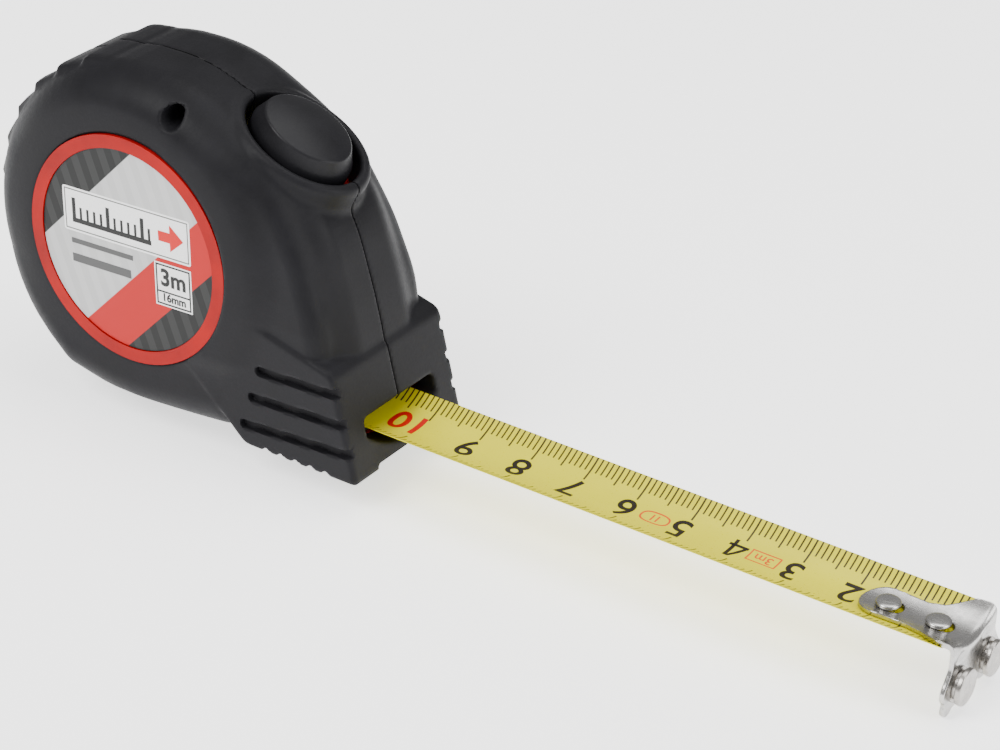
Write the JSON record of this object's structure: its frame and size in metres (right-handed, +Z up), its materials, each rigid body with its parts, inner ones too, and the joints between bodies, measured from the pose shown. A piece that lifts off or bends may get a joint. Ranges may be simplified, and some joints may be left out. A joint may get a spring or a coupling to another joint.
{
  "type": "tape measure",
  "caption": "Pocket tape measure with a round rubber-covered case, oval release button, curved steel blade and a magnetic end hook, drawn part way out.",
  "frame": {"origin": "on the flat base, straight below the spool's axis, on the blade's mid-plane", "axes": "+X the way the blade leaves the case, +Z up; the right half of the case is on the -Y side"},
  "size_m": [0.1806, 0.031, 0.0631],
  "materials": {
    "rubber": "satin moulded rubber",
    "red_plastic": "moulded",
    "label_print": "printed film",
    "dark_plastic": "moulded",
    "white_plastic": "moulded",
    "liner_plastic": "smooth sheet",
    "blade_yellow": "printed lacquer",
    "hook_steel": "nickel plated",
    "magnet_nickel": "nickel plated",
    "zinc_steel": "zinc plated",
    "spring_steel": "blued spring steel",
    "pad_rubber": "matt"
  },
  "bodies": {
    "case": {"grip_cover_right": "rubber", "grip_cover_left": "rubber", "case_shell_right": "red_plastic", "case_shell_left": "red_plastic", "label_right": "label_print", "label_left": "label_print", "case_screw": "zinc_steel", "spindle_screw": "zinc_steel", "spindle": "zinc_steel", "mainspring": "spring_steel", "coil_liner_right": "liner_plastic", "coil_liner_left": "liner_plastic", "lever_pin": "zinc_steel", "brake_spring": "spring_steel", "brake_anvil": "dark_plastic"},
    "drum": {"drum": "white_plastic", "drum_cover": "white_plastic", "blade_coil": "blade_yellow"},
    "blade": {"blade_strip": "blade_yellow", "hook_rivets": "hook_steel", "rivet_washer": "hook_steel"},
    "hook": {"hook": "hook_steel", "hook_magnets": "magnet_nickel"},
    "button": {"button": "dark_plastic"},
    "lever": {"brake_lever": "dark_plastic", "brake_pad": "pad_rubber"}
  },
  "joints": [
    {"name": "blade_slide", "type": "slide", "parent": "case", "child": "blade", "axis": [1, 0, 0], "range_m": [-0.1, 2.897], "deforming": ["blade_strip"]},
    {"name": "drum_spin", "type": "hinge", "parent": "case", "child": "drum", "pos_m": [0, 0, 0.0283], "axis": [0, 1, 0], "range_deg": [-7520, 280], "deforming": ["mainspring"]},
    {"name": "hook_float", "type": "slide", "parent": "blade", "child": "hook", "axis": [1, 0, 0], "range_m": [-0.0008, 0]},
    {"name": "button_press", "type": "slide", "parent": "case", "child": "button", "axis": [-0.4274, 0, -0.9041], "range_m": [0, 0.0018], "stiffness_N_per_m": 1500, "springref_m": -0.001},
    {"name": "lever_rock", "type": "hinge", "parent": "case", "child": "lever", "pos_m": [0.031, 0, 0.024], "axis": [0, 1, 0], "range_deg": [-9.07, 0], "deforming": ["brake_spring"]}
  ],
  "couplings": [
    {"joint": "drum_spin", "follows": "blade_slide", "rad_per_m": -45.106},
    {"joint": "lever_rock", "follows": "button_press", "rad_per_m": -85.077}
  ]
}
